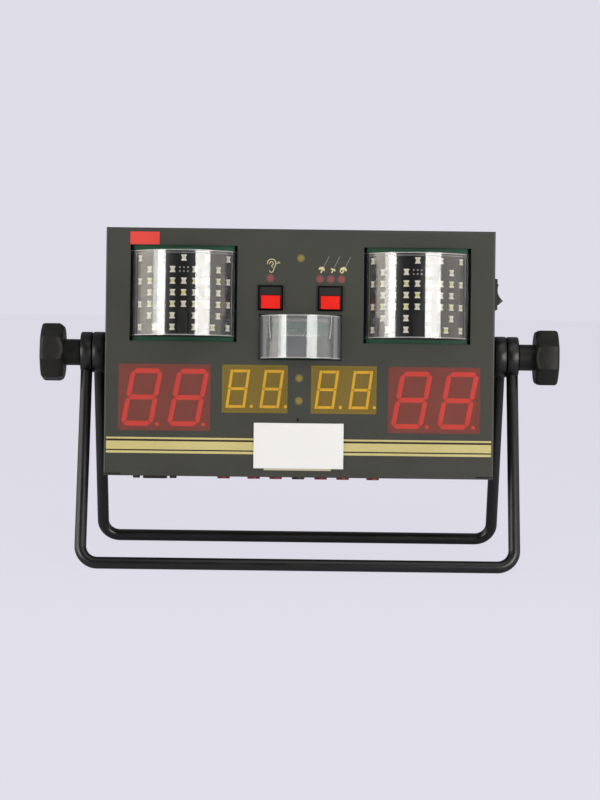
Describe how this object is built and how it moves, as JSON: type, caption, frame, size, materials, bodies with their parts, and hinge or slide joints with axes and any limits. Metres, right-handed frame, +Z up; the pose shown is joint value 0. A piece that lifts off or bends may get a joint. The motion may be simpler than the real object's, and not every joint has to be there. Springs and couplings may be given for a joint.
{
  "type": "fencing scoring machine",
  "caption": "Desktop fencing scoring machine: sheet-metal case with curved clear hit lamps, score and clock displays and push keys, held between two folding rod bails with hand knobs.",
  "frame": {"origin": "on the floor plane under the middle of the whole assembly's bounding box, with both bails standing on Z = 0", "axes": "+X to the right seen from the front and along the longest extent, +Z up, the front panel faces -Y and leans back 8.5 degrees"},
  "size_m": [0.352, 0.1088, 0.225],
  "materials": {
    "case_paint": "fine-textured matt",
    "front_print": "fine-grained film",
    "gold_print": "printed band",
    "window_red": "matt tinted window",
    "window_amber": "matt tinted window",
    "blank_label": "smooth white plate",
    "old_label": "cream sticker",
    "date_label": "red sticker",
    "clear_lens": "clear acrylic",
    "lamp_board": "black solder mask",
    "led_white": "ceramic light-emitting diode",
    "lamp_holder": "moulded black",
    "board_green": "green solder mask",
    "score_face": "red display face",
    "clock_face": "amber display face",
    "indicator_red": "diffuse red light",
    "indicator_amber": "diffuse amber light",
    "key_black": "moulded black",
    "key_red": "moulded red",
    "power_black": "moulded black",
    "socket_red": "moulded dark red",
    "socket_black": "moulded black",
    "connector_metal": "dull dark plated shell",
    "screw_black": "blackened steel",
    "inlet_black": "moulded black",
    "plated_steel": "zinc plated",
    "buzzer_black": "moulded black",
    "washer_nylon": "black nylon",
    "bail_paint": "satin black powder coat",
    "knob_black": "moulded black"
  },
  "bodies": {
    "case": {"front_shell": "case_paint", "rear_cover": "case_paint", "cover_screw_1": "plated_steel", "cover_screw_2": "plated_steel", "cover_screw_3": "plated_steel", "cover_screw_4": "plated_steel", "pillar_1": "plated_steel", "pillar_2": "plated_steel", "pillar_3": "plated_steel", "pillar_4": "plated_steel", "front_film": "front_print", "date_sticker": "date_label", "old_nameplate": "old_label", "blank_nameplate": "blank_label", "lamp_lens_left": "clear_lens", "lamp_lens_right": "clear_lens", "lamp_board_left": "lamp_board", "lamp_board_right": "lamp_board", "lamp_holder_left": "lamp_holder", "lamp_holder_right": "lamp_holder", "receiver_lens": "clear_lens", "receiver_board": "board_green", "score_digit_left_tens": "score_face", "score_digit_left_units": "score_face", "score_digit_right_tens": "score_face", "score_digit_right_units": "score_face", "clock_digits_minutes": "clock_face", "clock_digits_seconds": "clock_face", "sound_led": "indicator_red", "weapon_leds": "indicator_red", "start_led": "indicator_amber", "clock_colon": "indicator_amber", "sound_key_body": "key_black", "weapon_key_body": "key_black", "power_switch_body": "power_black", "left_socket_a": "socket_red", "left_socket_b": "socket_red", "left_socket_c": "socket_red", "right_socket_a": "socket_red", "right_socket_b": "socket_red", "right_socket_c": "socket_red", "piste_socket": "socket_black", "data_connector": "connector_metal", "jackscrew_left": "screw_black", "jackscrew_right": "screw_black", "power_inlet": "inlet_black", "main_board": "board_green", "buzzer": "buzzer_black", "pivot_stud_left": "plated_steel", "pivot_stud_right": "plated_steel", "friction_washer_left": "washer_nylon", "friction_washer_right": "washer_nylon"},
    "front_stand": {"front_bail": "bail_paint"},
    "rear_stand": {"rear_bail": "bail_paint"},
    "left_clamp": {"knob_left": "knob_black"},
    "right_clamp": {"knob_right": "knob_black"},
    "sound_button": {"sound_key": "key_red"},
    "weapon_button": {"weapon_key": "key_red"},
    "power_button": {"power_rocker": "power_black"}
  },
  "joints": [
    {"name": "front_bail_swing", "type": "hinge", "parent": "case", "child": "front_stand", "pos_m": [0, 0.00757, 0.138], "axis": [-1, 0, 0], "range_deg": [-15, 150]},
    {"name": "rear_bail_swing", "type": "hinge", "parent": "case", "child": "rear_stand", "pos_m": [0, 0.00757, 0.138], "axis": [1, 0, 0], "range_deg": [-15, 110]},
    {"name": "left_knob_turn", "type": "hinge", "parent": "case", "child": "left_clamp", "pos_m": [0, 0.00757, 0.138], "axis": [-1, 0, 0], "range_deg": [0, 360]},
    {"name": "right_knob_turn", "type": "hinge", "parent": "case", "child": "right_clamp", "pos_m": [0, 0.00757, 0.138], "axis": [1, 0, 0], "range_deg": [0, 360]},
    {"name": "sound_key_press", "type": "hinge", "parent": "case", "child": "sound_button", "pos_m": [-0.01989, -0.02212, 0.1802], "axis": [1, 0, 0], "range_deg": [0, 8], "stiffness_Nm_per_rad": 0.05, "springref_deg": -5.73},
    {"name": "weapon_key_press", "type": "hinge", "parent": "case", "child": "weapon_button", "pos_m": [0.01989, -0.02212, 0.1802], "axis": [1, 0, 0], "range_deg": [0, 8], "stiffness_Nm_per_rad": 0.05, "springref_deg": -5.73},
    {"name": "power_rocker_toggle", "type": "hinge", "parent": "case", "child": "power_button", "pos_m": [0.1305, -0.0016, 0.18154], "axis": [0, 0.989, -0.1478], "range_deg": [0, 30]}
  ]
}
